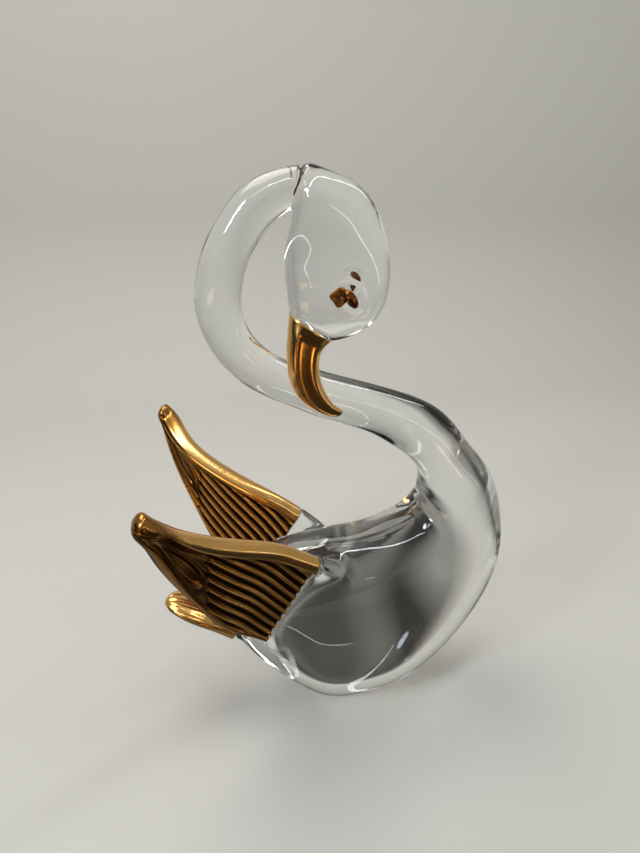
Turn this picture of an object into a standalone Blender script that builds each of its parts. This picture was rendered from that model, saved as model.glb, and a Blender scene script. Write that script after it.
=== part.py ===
"""A solid glass swan with gilded wings, tail and beak, standing on its own flat foot.

+X is forward, +Y is the swan's left, +Z is up, and the origin is the middle of the foot.
The free form keeps its proportions as shares of the height: a station's numbers are in
150ths of it, which are millimetres at the height given here.
"""
import math

import bmesh
import bpy
import numpy as np
from mathutils import Matrix, Vector

# Driving dimensions, in metres
HEIGHT = 0.150            # foot to the top of the neck's loop
NECK_DIAMETER = 0.0108    # the drawn glass rod of the neck, at its thinnest
BODY_WIDTH = 0.037        # the body across, at its widest
HEAD_THICKNESS = 0.0135   # the pressed head across
WING_WEB = 0.0030         # thickness of a wing between its rims
WING_RIM = 0.0056         # thickness of the roll along a wing's top edge
RIB_PITCH = 0.00245       # from rib to rib in the pressed wings
RIB_DEPTH = 0.0006        # depth of the grooves between the ribs
RIB_ANGLE = 16.5          # degrees between the lower ribs and a wing's top edge
TAIL_WIDTH = 0.0135       # the tail leaf across
TAIL_THICKNESS = 0.0042   # the tail leaf, top to underside
EYE_LENGTH = 0.0052       # the gilt eye, along its long axis
EYE_WIDTH = 0.0027        # the gilt eye, across
EYE_RISE = 0.0008         # how far the eye stands up from the head
EYE_SINK = 0.0026         # how deep its pit goes into the head
CREASE_DEPTH = 0.0011     # the notch where the neck's end is folded on to the head
JOINT = 0.0003            # clearance between a gilt piece and the clear glass

UNIT = HEIGHT / 150.0
ROD = NECK_DIAMETER / 2 / UNIT
HALF_BODY = BODY_WIDTH / 2 / UNIT
HALF_HEAD = HEAD_THICKNESS / 2 / UNIT

RING_POINTS = 18
RING_STEPS = 2
BEAK_POINTS = 14

# Stations of the clear glass: left-hand outline point x, z as seen along the run of the
# glass with the head up, right-hand point x, z, half width and sideways shift
BODY = (
    (-31.8, 31.0, -29.5, 20.5, 0.26 * HALF_BODY, 0.6),
    (-29.6, 41.0, -23.8, 14.0, 0.54 * HALF_BODY, 0.3),
    (-22.0, 49.6, -15.0, 5.6, 0.78 * HALF_BODY, 0.0),
    (-9.0, 53.2, -5.2, -0.8, 0.95 * HALF_BODY, 0.0),
    (3.0, 54.2, 6.0, -1.0, 0.99 * HALF_BODY, 0.0),
    (11.5, 56.0, 18.0, 2.5, 0.98 * HALF_BODY, 0.0),
    (17.5, 58.8, 31.0, 13.0, 0.93 * HALF_BODY, 0.0),
    (20.8, 61.8, 41.2, 26.5, 0.83 * HALF_BODY, 0.0),
    (22.2, 65.2, 47.0, 42.0, 0.73 * HALF_BODY, 0.0),
    (22.0, 69.2, 46.2, 58.5, 0.65 * HALF_BODY, 0.0),
    (20.2, 73.0, 42.0, 70.2, 0.57 * HALF_BODY, 0.0),
    (16.2, 77.2, 35.0, 79.2, 0.50 * HALF_BODY, 0.0),
)
# The neck: middle x, z, heading in degrees (0 forward, 90 up), girth over the rod, shift
NECK = (
    (19.2, 84.4, 126.0, 1.48, 0.2),
    (8.6, 89.6, 157.0, 1.17, 0.5),
    (-2.0, 93.2, 159.0, 1.12, 0.6),
    (-12.4, 97.4, 154.0, 1.02, 0.4),
    (-21.0, 101.8, 143.0, 0.97, -0.2),
    (-27.0, 107.6, 123.0, 0.97, -0.9),
    (-30.5, 114.4, 104.0, 1.00, -1.5),
    (-31.1, 121.8, 88.0, 1.02, -2.2),
    (-29.3, 129.6, 70.0, 1.00, -2.8),
    (-25.6, 136.6, 54.0, 0.96, -3.4),
    (-19.8, 142.6, 32.0, 0.94, -4.1),
    (-13.0, 145.1, -13.0, 0.92, -4.8),
)
HEAD = (
    (-6.6, 149.2, -14.0, 137.6, 0.90 * HALF_HEAD, -5.4),
    (1.5, 145.4, -15.4, 132.6, 0.98 * HALF_HEAD, -5.9),
    (6.6, 138.0, -15.8, 128.6, 1.00 * HALF_HEAD, -6.3),
    (8.8, 128.6, -15.8, 125.0, 1.00 * HALF_HEAD, -6.6),
    (8.1, 120.0, -15.5, 122.0, 0.97 * HALF_HEAD, -6.9),
    (4.4, 114.4, -15.3, 119.8, 0.90 * HALF_HEAD, -7.2),
    (-1.0, 111.6, -15.1, 118.6, 0.78 * HALF_HEAD, -7.5),
    (-5.3, 110.9, -15.2, 117.8, 0.62 * HALF_HEAD, -7.8),
)
BEAK = (
    (-5.3, 110.9, -15.2, 117.8, 0.62 * HALF_HEAD, -7.8),
    (-7.3, 109.3, -15.8, 113.0, 0.57 * HALF_HEAD, -8.3),
    (-8.3, 106.4, -16.1, 108.2, 0.53 * HALF_HEAD, -8.8),
    (-8.2, 103.0, -15.8, 103.2, 0.48 * HALF_HEAD, -9.2),
    (-7.5, 100.0, -14.2, 98.8, 0.42 * HALF_HEAD, -9.5),
    (-6.2, 97.3, -11.2, 95.3, 0.35 * HALF_HEAD, -9.6),
    (-4.6, 95.2, -7.6, 93.0, 0.26 * HALF_HEAD, -9.6),
    (-3.0, 93.9, -4.4, 92.1, 0.16 * HALF_HEAD, -9.6),
    (-2.4, 93.4, -2.7, 92.9, 0.05 * HALF_HEAD, -9.6),
)
FOLD_STATION = len(BODY) + len(NECK) - 1
FOLD_REACH = 0.14         # how far the notch at the fold reaches each way, in stations
CREASE_SIDES = 0.6        # the notch's depth at the sides over its depth on top

# A wing, on the swan's left: top edge x, y, z and lower edge x, y, z from root to tip
WING = (
    (1.0, 8.0, 47.0, -15.5, 8.0, 17.0),
    (-9.0, 13.4, 54.4, -24.6, 12.4, 29.6),
    (-18.0, 15.2, 60.4, -30.6, 15.8, 36.0),
    (-27.0, 18.8, 65.0, -35.3, 19.4, 42.6),
    (-35.6, 23.2, 70.0, -39.4, 23.4, 51.2),
    (-41.2, 26.8, 74.6, -42.8, 27.2, 59.4),
    (-44.4, 30.4, 78.8, -45.4, 30.8, 67.0),
    (-45.6, 33.0, 81.2, -47.6, 33.6, 73.8),
    (-46.7, 34.0, 82.7, -49.2, 34.4, 77.4),
)
WING_STEPS = 3            # sections from each station to the next
WING_ROOT_STEPS = 3       # sections from the root to the gilding line
LOW_RIM_SHARE = 0.62      # the lower rim's thickness over the top roll's
RIM_SWELL = 0.10          # how much thicker the roll gets towards the tip
RIB_REACH = 34.0 * UNIT   # how far the ribs run out from the gilding line
RIB_FADE = 0.2            # the outer share of that in which they die away
RIB_MARGIN = 4.2 * UNIT   # top edge to the first rib
RIB_SPREAD = 0.06         # how far ribs that meet the roll are kept apart, as a share
TIP_ROUNDING = 0.6        # how far the ball at a wing's tip stands out, over its radius
TIP_TURNS = (35.0, 68.0)  # where the ball's sections lie, in degrees from its widest
RIGHT_WING_STRETCH = 1.07  # the right wing is drawn out a little longer than the left
RIGHT_WING_SAG = 1.3      # its lower edge hangs lower by this
RIGHT_TIP_SPREAD = 1.2    # and its tip was pinched wider by this

# The tail leaf: middle x, z, half width share, half thickness share, sideways shift
TAIL = (
    (-20.0, 22.0, 0.60, 2.2, 0.3),
    (-25.0, 22.8, 0.66, 1.9, 0.5),
    (-30.0, 25.0, 0.72, 1.45, 0.8),
    (-36.0, 28.6, 0.90, 1.10, 1.4),
    (-42.0, 32.0, 1.00, 1.00, 1.8),
    (-46.5, 34.2, 0.84, 0.85, 2.0),
    (-49.2, 35.0, 0.52, 0.60, 2.0),
    (-50.6, 35.1, 0.12, 0.14, 2.0),
)
TAIL_STEPS = 2            # sections from each station to the next
TAIL_ROOT_STEPS = 4       # sections from the root to the gilding line
TAIL_FLUTES = 4
FLUTE_STEPS = 4           # sections over which the flutes rise to their full depth
FLUTE_DEPTH = 0.0004      # the soft waves pressed along the tail

# The eyes: name, side, middle x and z on the head, and size over the eye's given size
EYES = (
    ("left_eye", 1, 0.8, 125.2, 0.62),
    ("right_eye", -1, -1.6, 121.4, 1.0),
)
EYE_LEAN = 34.0           # from upright, in degrees
HEAD_SIDE = 0.985         # how far out the pressed head's side lies, over its half thickness


def clear_scene():
    for item in list(bpy.data.objects):
        bpy.data.objects.remove(item, do_unlink=True)


def collection(name):
    made = bpy.data.collections.new(name)
    bpy.context.scene.collection.children.link(made)
    return made


def material(name, colour, roughness, metallic, transmission=0.0):
    made = bpy.data.materials.new(name)
    made.use_nodes = True
    shader = made.node_tree.nodes["Principled BSDF"]
    shader.inputs["Base Color"].default_value = (*colour, 1.0)
    shader.inputs["Roughness"].default_value = roughness
    shader.inputs["Metallic"].default_value = metallic
    shader.inputs["Transmission Weight"].default_value = transmission
    made.diffuse_color = (*colour, 1.0)
    return made


def spline(rows, places):
    """A smooth curve through every row, read at the given places (0 is the first row)."""
    rows = np.array(rows, float)
    padded = np.vstack([2 * rows[0] - rows[1], rows, 2 * rows[-1] - rows[-2]])
    out = []
    for place in places:
        i = min(int(place), len(rows) - 2)
        t = place - i
        a, b, c, d = padded[i:i + 4]
        out.append(0.5 * (2 * b + (c - a) * t + (2 * a - 5 * b + 4 * c - d) * t ** 2
                          + (3 * b - a - 3 * c + d) * t ** 3))
    return np.array(out)


def even(rows, steps):
    """Places along the rows, with the same number of steps from each row to the next."""
    return [k / steps for k in range((len(rows) - 1) * steps + 1)]


def neck_pair(x, z, heading, girth, shift):
    """A neck station as a pair of outline points square to its heading."""
    angle = math.radians(heading)
    reach = girth * ROD
    side = np.array([-math.sin(angle), math.cos(angle)]) * reach
    return (x + side[0], z + side[1], x - side[0], z - side[1], reach, shift)


def ring(row, points=RING_POINTS, power=2.0):
    """A rounded section between a station's two outline points."""
    x0, z0, x1, z1, half_width, shift = row
    middle = np.array([(x0 + x1) / 2, shift, (z0 + z1) / 2])
    depth = np.array([(x1 - x0) / 2, 0.0, (z1 - z0) / 2])
    width = np.array([0.0, half_width, 0.0])
    out = []
    for k in range(points):
        angle = 2 * math.pi * k / points
        c, s = math.cos(angle), math.sin(angle)
        c = math.copysign(abs(c) ** (2 / power), c)
        s = math.copysign(abs(s) ** (2 / power), s)
        out.append((middle + depth * c + width * s) * UNIT)
    return out


def loft(name, rings, group, finish):
    """One closed body through a row of rings, capped flat at both ends."""
    shape = bmesh.new()
    loops = [[shape.verts.new(Vector(p)) for p in points] for points in rings]
    count = len(loops[0])
    for near, far in zip(loops, loops[1:]):
        for k in range(count):
            shape.faces.new((near[k], near[(k + 1) % count], far[(k + 1) % count], far[k]))
    shape.faces.new(list(reversed(loops[0])))
    shape.faces.new(loops[-1])
    bmesh.ops.recalc_face_normals(shape, faces=shape.faces)
    return add_mesh(name, shape, group, finish)


def add_mesh(name, shape, group, finish):
    mesh = bpy.data.meshes.new(name)
    shape.to_mesh(mesh)
    shape.free()
    made = bpy.data.objects.new(name, mesh)
    group.objects.link(made)
    if finish:
        mesh.materials.append(finish)
    return made


def cutter(item):
    item.display_type = "WIRE"
    item.hide_render = True


def boolean(item, other, operation):
    step = item.modifiers.new(operation.lower(), "BOOLEAN")
    step.operation = operation
    step.solver = "EXACT"
    step.object = other
    cutter(other)


def smooth(item, angle=35.0):
    item.data.shade_smooth()
    item.data.set_sharp_from_angle(angle=math.radians(angle))


def notch(row, place):
    """Pinches the section at the fold between the neck's end and the head, most on top."""
    if place != FOLD_STATION:
        return tuple(row)
    share = CREASE_DEPTH / UNIT
    x0, z0, x1, z1, half_width, shift = row
    along = np.array([x1 - x0, z1 - z0]) / math.hypot(x1 - x0, z1 - z0)
    half_width -= share * CREASE_SIDES
    return (x0 + along[0] * share, z0 + along[1] * share, x1, z1, half_width, shift)


def glass_rows():
    """Every section of the clear glass, from the tail's root to the beak."""
    stations = list(BODY) + [neck_pair(*row) for row in NECK] + list(HEAD)
    beside_fold = [FOLD_STATION - FOLD_REACH, FOLD_STATION + FOLD_REACH]
    places = sorted(even(stations, RING_STEPS) + beside_fold)
    return [notch(row, place) for row, place in zip(spline(stations, places), places)]


def grown(row, by):
    """A section that stands off from the glass by a clearance."""
    x0, z0, x1, z1, half_width, shift = row
    along = np.array([x1 - x0, z1 - z0]) / math.hypot(x1 - x0, z1 - z0) * by
    return (x0 - along[0], z0 - along[1], x1 + along[0], z1 + along[1], half_width + by, shift)


def build_glass(group, finish):
    rings = [ring(row) for row in glass_rows()]
    return loft("body_neck_and_head", rings, group, finish)


def wing_rims(along):
    """Half thickness of the top roll and of the lower rim, at a share of the wing's length."""
    top = WING_RIM / 2 * (1.0 + RIM_SWELL * along)
    return top, top * LOW_RIM_SHARE


def wing_half_thickness(down, length, along):
    """Half a wing's thickness at a distance below its top edge."""
    rim, low_rim = wing_rims(along)
    rise = length - down
    if down < rim:
        return math.sqrt(max(0.0, rim ** 2 - (rim - down) ** 2))
    if rise < low_rim:
        return math.sqrt(max(0.0, low_rim ** 2 - (low_rim - rise) ** 2))
    web = WING_WEB / 2
    half = web + (rim - web) * math.exp(-((down - rim) / rim) ** 2)
    return half + (low_rim - web) * math.exp(-((rise - low_rim) / low_rim) ** 2)


def wing_section(i, rows, sign):
    """The local axes of a wing section: top point, down its chord, outward, chord length."""
    j = min(int(i), len(rows) - 2)
    row = rows[j] * (1 - (i - j)) + rows[j + 1] * (i - j)
    top = row[:3] * UNIT
    low = row[3:] * UNIT
    run = (rows[min(j + 1, len(rows) - 1)] - rows[max(j - 1, 0)]).reshape(2, 3).sum(0)
    length = np.linalg.norm(low - top)
    chord = (low - top) / length
    out = np.cross(chord, run)
    out /= np.linalg.norm(out)
    mirror = np.array([1.0, sign, 1.0])
    return top * mirror, chord * mirror, out * mirror, length


def rib_count(rows, sign):
    """How many ribs fit between the rims where the gilding starts."""
    length = wing_section(WING_ROOT_STEPS, rows, sign)[3]
    return int((length - RIB_MARGIN - RIB_MARGIN * LOW_RIM_SHARE) / rib_spacing())


def rib_spacing():
    """The pitch, measured down a section instead of square to the ribs."""
    return RIB_PITCH / math.cos(math.radians(RIB_ANGLE))


def ease(share):
    share = min(1.0, max(0.0, share))
    return share * share * (3 - 2 * share)


def wing_ring(i, rows, sign, travelled, ribs, depth):
    """One section: rolled rims, and between them crests and grooves that run along the ribs."""
    top, chord, out, length = wing_section(i, rows, sign)
    along = i / (len(rows) - 1)
    rim, low_rim = wing_rims(along)
    quarter = (0.0, math.pi / 4, math.pi / 2)
    face = [(d, wing_half_thickness(d, length, along))
            for d in (rim * (1 - math.cos(a)) for a in quarter)]
    span = length - rim - low_rim
    high = min(RIB_MARGIN, rim + span / 3)
    low = max(length - RIB_MARGIN * LOW_RIM_SHARE, length - low_rim - span / 5)
    past = ease((travelled / RIB_REACH - 1 + RIB_FADE) / RIB_FADE)
    climb = travelled * math.tan(math.radians(RIB_ANGLE))
    lines = 2 * ribs
    for j in range(lines + 1):
        share = (RIB_MARGIN + j * rib_spacing() / 2 - climb - high) / (low - high)
        share = min(1.0, max(0.0, share))
        spread = RIB_SPREAD + (1 - RIB_SPREAD) * past
        down = high + (low - high) * (share * (1 - spread) + j / lines * spread)
        clear = ease(min(share, 1 - share) * (low - high) / (rib_spacing() / 2))
        cut = depth * (j % 2) * clear * (1 - past)
        face.append((down, wing_half_thickness(down, length, along) - cut))
    face += [(d, wing_half_thickness(d, length, along))
             for d in (length - low_rim * (1 - math.cos(a)) for a in reversed(quarter))]
    points = [top + chord * d + out * h for d, h in face]
    points += [top + chord * d - out * h for d, h in reversed(face[1:-1])]
    return points


def rounded_tip(last, before):
    """Shrinking sections that close a wing's tip with a ball."""
    middle = np.mean(last, axis=0)
    run = middle - np.mean(before, axis=0)
    run /= np.linalg.norm(run)
    reach = max(np.linalg.norm(np.array(last) - middle, axis=1)) * TIP_ROUNDING
    closing = []
    for angle in np.radians(TIP_TURNS):
        closing.append([middle + (p - middle) * math.cos(angle) + run * reach * math.sin(angle)
                        for p in last])
    return closing


def build_wing(name, sign, group, tools, finish):
    """A gilt wing from the gilding line out, and the clear root that carries it."""
    rows = spline(WING, even(WING, WING_STEPS))
    start = WING_ROOT_STEPS
    if sign < 0:
        for column in (0, 3):
            reach = rows[start:, column] - rows[start, column]
            rows[start:, column] += reach * (RIGHT_WING_STRETCH - 1.0)
        share = np.linspace(0.0, 1.0, len(rows) - start)
        rows[start:, 5] -= RIGHT_WING_SAG * np.sin(np.pi * share)
        rows[start:, 3] -= RIGHT_TIP_SPREAD * share ** 4
    ribs = rib_count(rows, sign)
    tops = [wing_section(i, rows, sign)[0] for i in range(len(rows))]
    travelled = [math.copysign(sum(np.linalg.norm(tops[k + 1] - tops[k])
                                   for k in range(min(i, start), max(i, start))), i - start)
                 for i in range(len(rows))]
    root_rings = [wing_ring(i, rows, sign, travelled[i], ribs, 0.0) for i in range(start + 1)]
    rings = [wing_ring(i, rows, sign, travelled[i], ribs, RIB_DEPTH)
             for i in range(start, len(rows))]
    chord, out = wing_section(start, rows, sign)[1:3]
    away = np.cross(out, chord)
    away *= math.copysign(JOINT, -away[0])
    rings = [[p + away for p in rings[0]]] + rings[1:] + rounded_tip(rings[-1], rings[-2])
    blade = loft(name, rings, group, finish)
    root = loft(name + "_root", root_rings, tools, None)
    return blade, root


def tail_ring(row, before, after, flutes):
    x, z, width, thickness, shift = row
    run = np.array([after[0] - before[0], 0.0, after[1] - before[1]])
    run /= np.linalg.norm(run)
    up = np.array([run[2], 0.0, -run[0]])
    half_width = width * TAIL_WIDTH / 2
    half_thickness = thickness * TAIL_THICKNESS / 2
    points = []
    for k in range(RING_POINTS):
        angle = 2 * math.pi * k / RING_POINTS
        across = math.cos(angle)
        wave = FLUTE_DEPTH * flutes * math.cos(math.pi * TAIL_FLUTES * across)
        middle = np.array([x, shift, z]) * UNIT
        points.append(middle + np.array([0.0, half_width * across, 0.0])
                      + up * (half_thickness * math.sin(angle) + wave))
    return points


def build_tail(group, tools, finish):
    rows = spline(TAIL, even(TAIL, TAIL_STEPS))
    start = TAIL_ROOT_STEPS
    rings = []
    for i, row in enumerate(rows):
        flutes = max(0.0, min(1.0, (i - start) / FLUTE_STEPS, (len(rows) - 1 - i) / FLUTE_STEPS))
        rings.append(tail_ring(row, rows[max(0, i - 1)], rows[min(len(rows) - 1, i + 1)], flutes))
    run = (rows[start + 1] - rows[start - 1])[:2]
    away = np.array([run[0], 0.0, run[1]]) / np.linalg.norm(run) * JOINT
    leaf = loft("tail", [[p + away for p in rings[start]]] + rings[start + 1:], group, finish)
    root = loft("tail_root", rings[:start + 1], tools, None)
    return leaf, root


def oval(name, centre, half_length, half_width, half_depth, group, finish):
    """A rounded bead lying in the head's side, leaning forward at its foot."""
    shape = bmesh.new()
    bmesh.ops.create_uvsphere(shape, u_segments=14, v_segments=8, radius=1.0)
    stretch = Matrix.Diagonal((half_width, half_depth, half_length, 1.0))
    lean = Matrix.Rotation(math.radians(EYE_LEAN), 4, "Y")
    bmesh.ops.transform(shape, matrix=lean.inverted() @ stretch, verts=shape.verts)
    bmesh.ops.translate(shape, vec=Vector(centre), verts=shape.verts)
    return add_mesh(name, shape, group, finish)


def head_side(sign, x, z):
    """The point of the head's left (1) or right (-1) side at this x and z."""
    row = HEAD[3]
    middle_x = (row[0] + row[2]) / 2
    share = (x - middle_x) / ((row[0] - row[2]) / 2)
    out = row[4] * math.sqrt(1 - share ** 2) * HEAD_SIDE
    return np.array([x, row[5] + sign * out, z]) * UNIT


def build_eye(name, sign, x, z, size, swan, group, tools, finish):
    """A bead of lustre that fills a pit in the head and stands a little proud of it."""
    half_depth = (EYE_RISE + EYE_SINK) / 2
    centre = head_side(sign, x, z) - np.array([0.0, sign * (half_depth - EYE_RISE), 0.0])
    half_length, half_width = EYE_LENGTH / 2 * size, EYE_WIDTH / 2 * size
    oval(name, centre, half_length, half_width, half_depth, group, finish)
    pit = oval(name + "_pit", centre, half_length + JOINT, half_width + JOINT,
               half_depth + JOINT, tools, None)
    boolean(swan, pit, "DIFFERENCE")


def ground_plane(group):
    """A block whose top face grinds the foot flat at z = 0."""
    shape = bmesh.new()
    bmesh.ops.create_cube(shape, size=HEIGHT)
    bmesh.ops.translate(shape, vec=(0.0, 0.0, -HEIGHT / 2), verts=shape.verts)
    return add_mesh("foot_grind", shape, group, None)


def main():
    clear_scene()
    group = collection("glass_swan_figurine")
    tools = collection("cutters")
    glass = material("clear_glass", (0.90, 0.92, 0.92), 0.02, 0.0, 1.0)
    gilt = material("gold_lustre", (0.72, 0.45, 0.12), 0.12, 1.0)
    brown = material("brown_lustre", (0.22, 0.10, 0.04), 0.15, 0.8)
    swan = build_glass(group, glass)
    clearance = loft("glass_clearance", [ring(grown(row, JOINT / UNIT)) for row in glass_rows()],
                     tools, None)
    cutter(clearance)
    beak_rings = [ring(row, BEAK_POINTS) for row in spline(BEAK, even(BEAK, RING_STEPS))]
    fall = np.mean(beak_rings[1], axis=0) - np.mean(beak_rings[0], axis=0)
    fall *= JOINT / np.linalg.norm(fall)
    beak = loft("beak", [[p + fall for p in beak_rings[0]]] + beak_rings[1:], group, gilt)
    for name, sign in (("left_wing", 1), ("right_wing", -1)):
        blade, root = build_wing(name, sign, group, tools, gilt)
        boolean(blade, clearance, "DIFFERENCE")
        boolean(swan, root, "UNION")
    leaf, tail_root = build_tail(group, tools, gilt)
    boolean(leaf, clearance, "DIFFERENCE")
    boolean(swan, tail_root, "UNION")
    for name, sign, x, z, size in EYES:
        build_eye(name, sign, x, z, size, swan, group, tools, brown)
    boolean(swan, ground_plane(tools), "DIFFERENCE")
    for item in group.objects:
        smooth(item)


main()
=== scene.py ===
"""The looks of a solid clear-glass swan with gilded wings, tail and beak.

Every shape repeats the frame's own sizes, in millimetres, with finer sections than the frame has.
+X is forward, +Y is the swan's left, +Z is up, and the foot stands at z = 0.
"""
import math

import bmesh
import bpy
import numpy as np
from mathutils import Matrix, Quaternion, Vector


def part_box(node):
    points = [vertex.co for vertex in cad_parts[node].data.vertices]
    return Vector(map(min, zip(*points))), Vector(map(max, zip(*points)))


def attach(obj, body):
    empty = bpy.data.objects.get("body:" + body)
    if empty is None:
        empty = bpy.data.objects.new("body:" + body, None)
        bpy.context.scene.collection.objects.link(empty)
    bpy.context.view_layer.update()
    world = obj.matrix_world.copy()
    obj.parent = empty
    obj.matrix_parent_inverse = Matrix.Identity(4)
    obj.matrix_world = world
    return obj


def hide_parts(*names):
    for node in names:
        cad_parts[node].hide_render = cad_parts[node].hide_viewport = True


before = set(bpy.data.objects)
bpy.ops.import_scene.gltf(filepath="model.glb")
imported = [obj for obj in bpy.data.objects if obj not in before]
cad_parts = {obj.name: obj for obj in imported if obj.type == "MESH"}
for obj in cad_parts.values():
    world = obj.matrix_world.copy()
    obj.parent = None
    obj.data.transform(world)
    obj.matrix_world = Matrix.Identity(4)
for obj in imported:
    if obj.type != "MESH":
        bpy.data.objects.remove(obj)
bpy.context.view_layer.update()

# One millimetre, from the height of the frame's clear glass
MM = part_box("body_neck_and_head")[1].z / 150.06

# Sizes of the worked glass, in millimetres
ROD = 5.4                 # half the neck's diameter at its thinnest
HALF_BODY = 18.5          # half the body's width
HALF_HEAD = 6.75          # half the pressed head's thickness
WING_WEB = 3.0            # thickness of a wing between its rims
WING_RIM = 5.6            # thickness of the roll along a wing's top edge
LOW_RIM_SHARE = 0.62      # the lower rim's thickness over the top roll's
RIM_SWELL = 0.10          # how much thicker the roll gets towards the tip
ROLL_FLANK = 0.62         # how wide the roll's flank runs into the web, over its radius
RIB_PITCH = 2.45          # from rib to rib
RIB_DEPTH = 0.85          # depth of the grooves between the ribs
RIB_ANGLE = 16.5          # degrees between the ribs and a wing's top edge
RIB_MARGIN = 4.2          # top edge to the first rib
RIB_REACH = 35.5          # how far the ribs run out from the gilding line
RIB_SLANT = 0.16          # how much sooner they end for each millimetre further down
VALLEY_DEPTH = 0.70       # how deep the web lies beyond the ribs' rounded ends, and how much painted shade its gilding gets there
INNER_LEAF = 0.45         # the leaf's relief on the inner face over that on the outer one
RIGHT_WING_STRETCH = 1.07  # the right wing is drawn out a little longer than the left
RIGHT_WING_SAG = 1.3      # its lower edge hangs lower by this
RIGHT_TIP_SPREAD = 1.2    # and its tip was pinched wider by this
TAIL_WIDTH = 13.5
TAIL_THICKNESS = 4.2
TAIL_FLUTES = 4
FLUTE_DEPTH = 0.15
EYE_LENGTH = 5.2
EYE_WIDTH = 2.7
EYE_RISE = 0.8            # how far the eye stands up from the head
EYE_SINK = 2.6            # how deep its pit goes into the head
EYE_LEAN = 34.0
CREASE_DEPTH = 2.3        # the notch where the neck's end is folded on to the head
CREASE_WIDTH = 0.055      # and its width, in stations
EMBED = 0.25              # how far a gilt piece is fused into the clear glass
FUSED_SHARE = 0.985       # the size of its buried end over its first section
FOOT_HOLLOW = 0.8         # how deep the ground foot is hollowed inside its rim
GROUND_OFF = 1.2          # the most that is ground off the body's belly
FLAT_CUT = 3.0            # a face wider than this is a flat cut, not worked glass
LEAF_MIDDLE = 43.4        # the pressed leaf's middle, from the gilding line
LEAF_HALF = 8.8           # half its length
LEAF_SHARE = 0.57         # how far down the free web its middle lies, as a share
LEAF_HALF_SHARE = 0.26    # and half its width
LEAF_DEPTH = 0.55
LEAF_RIDGE = 1.05         # how far the ridge round it stands up
CUP_MARGIN = 1.3          # how far an eye's cup reaches past the bead
CUP_DEPTH = 1.3
CUP_RIM = 0.34            # how far the rim round the cup stands up
EYE_IMAGE_HALF_LENGTH = 2.2   # painted reflection: a brown patch beside the right eye for the eye's image bent by the glass
EYE_IMAGE_HALF_HEIGHT = 2.1
EYE_IMAGE_HALF_THICKNESS = 0.5
EYE_IMAGE_DEPTH = 1.15        # how far it lies under the head's skin
SLIVER_HALF_DEPTH = 1.0    # the dark brown sliver in the notch
SLIVER_HALF_WIDTH = 0.42
SLIVER_FROM = -8.0         # degrees round the glass, from its outer side
SLIVER_TO = -118.0

# Stations of the clear glass: left-hand outline point x, z as seen along the run of the
# glass with the head up, right-hand point x, z, half width and sideways shift
BODY = (
    (-31.8, 31.0, -29.5, 20.5, 0.26 * HALF_BODY, 0.6),
    (-29.6, 41.0, -23.8, 14.0, 0.54 * HALF_BODY, 0.3),
    (-22.0, 49.6, -15.0, 5.6, 0.78 * HALF_BODY, 0.0),
    (-9.0, 53.2, -5.2, -0.8, 0.95 * HALF_BODY, 0.0),
    (3.0, 54.2, 6.0, -1.0, 0.99 * HALF_BODY, 0.0),
    (11.5, 56.0, 18.0, 2.5, 0.98 * HALF_BODY, 0.0),
    (17.5, 58.8, 31.0, 13.0, 0.93 * HALF_BODY, 0.0),
    (20.8, 61.8, 41.2, 26.5, 0.83 * HALF_BODY, 0.0),
    (22.2, 65.2, 47.0, 42.0, 0.73 * HALF_BODY, 0.0),
    (22.0, 69.2, 46.2, 58.5, 0.65 * HALF_BODY, 0.0),
    (20.2, 73.0, 42.0, 70.2, 0.57 * HALF_BODY, 0.0),
    (16.2, 77.2, 35.0, 79.2, 0.50 * HALF_BODY, 0.0),
)
# The neck: middle x, z, heading in degrees (0 forward, 90 up), girth over the rod, shift
NECK = (
    (19.2, 84.4, 126.0, 1.48, 0.2),
    (8.6, 89.6, 157.0, 1.17, 0.5),
    (-2.0, 93.2, 159.0, 1.12, 0.6),
    (-12.4, 97.4, 154.0, 1.02, 0.4),
    (-21.0, 101.8, 143.0, 0.97, -0.2),
    (-27.0, 107.6, 123.0, 0.97, -0.9),
    (-30.5, 114.4, 104.0, 1.00, -1.5),
    (-31.1, 121.8, 88.0, 1.02, -2.2),
    (-29.3, 129.6, 70.0, 1.00, -2.8),
    (-25.6, 136.6, 54.0, 0.96, -3.4),
    (-19.8, 142.6, 32.0, 0.94, -4.1),
    (-13.0, 145.1, -13.0, 0.92, -4.8),
)
HEAD = (
    (-6.6, 149.2, -14.0, 137.6, 0.90 * HALF_HEAD, -5.4),
    (1.5, 145.4, -15.4, 132.6, 0.98 * HALF_HEAD, -5.9),
    (6.6, 138.0, -15.8, 128.6, 1.00 * HALF_HEAD, -6.3),
    (8.8, 128.6, -15.8, 125.0, 1.00 * HALF_HEAD, -6.6),
    (8.1, 120.0, -15.5, 122.0, 0.97 * HALF_HEAD, -6.9),
    (4.4, 114.4, -15.3, 119.8, 0.90 * HALF_HEAD, -7.2),
    (-1.0, 111.6, -15.1, 118.6, 0.78 * HALF_HEAD, -7.5),
    (-5.3, 110.9, -15.2, 117.8, 0.62 * HALF_HEAD, -7.8),
)
BEAK = (
    (-5.3, 110.9, -15.2, 117.8, 0.62 * HALF_HEAD, -7.8),
    (-7.3, 109.3, -15.8, 113.0, 0.57 * HALF_HEAD, -8.3),
    (-8.3, 106.4, -16.1, 108.2, 0.53 * HALF_HEAD, -8.8),
    (-8.2, 103.0, -15.8, 103.2, 0.48 * HALF_HEAD, -9.2),
    (-7.5, 100.0, -14.2, 98.8, 0.42 * HALF_HEAD, -9.5),
    (-6.2, 97.3, -11.2, 95.3, 0.35 * HALF_HEAD, -9.6),
    (-4.6, 95.2, -7.6, 93.0, 0.26 * HALF_HEAD, -9.6),
    (-3.0, 93.9, -4.4, 92.1, 0.16 * HALF_HEAD, -9.6),
    (-2.4, 93.4, -2.7, 92.9, 0.05 * HALF_HEAD, -9.6),
)
FOLD = len(BODY) + len(NECK) - 1
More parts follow.
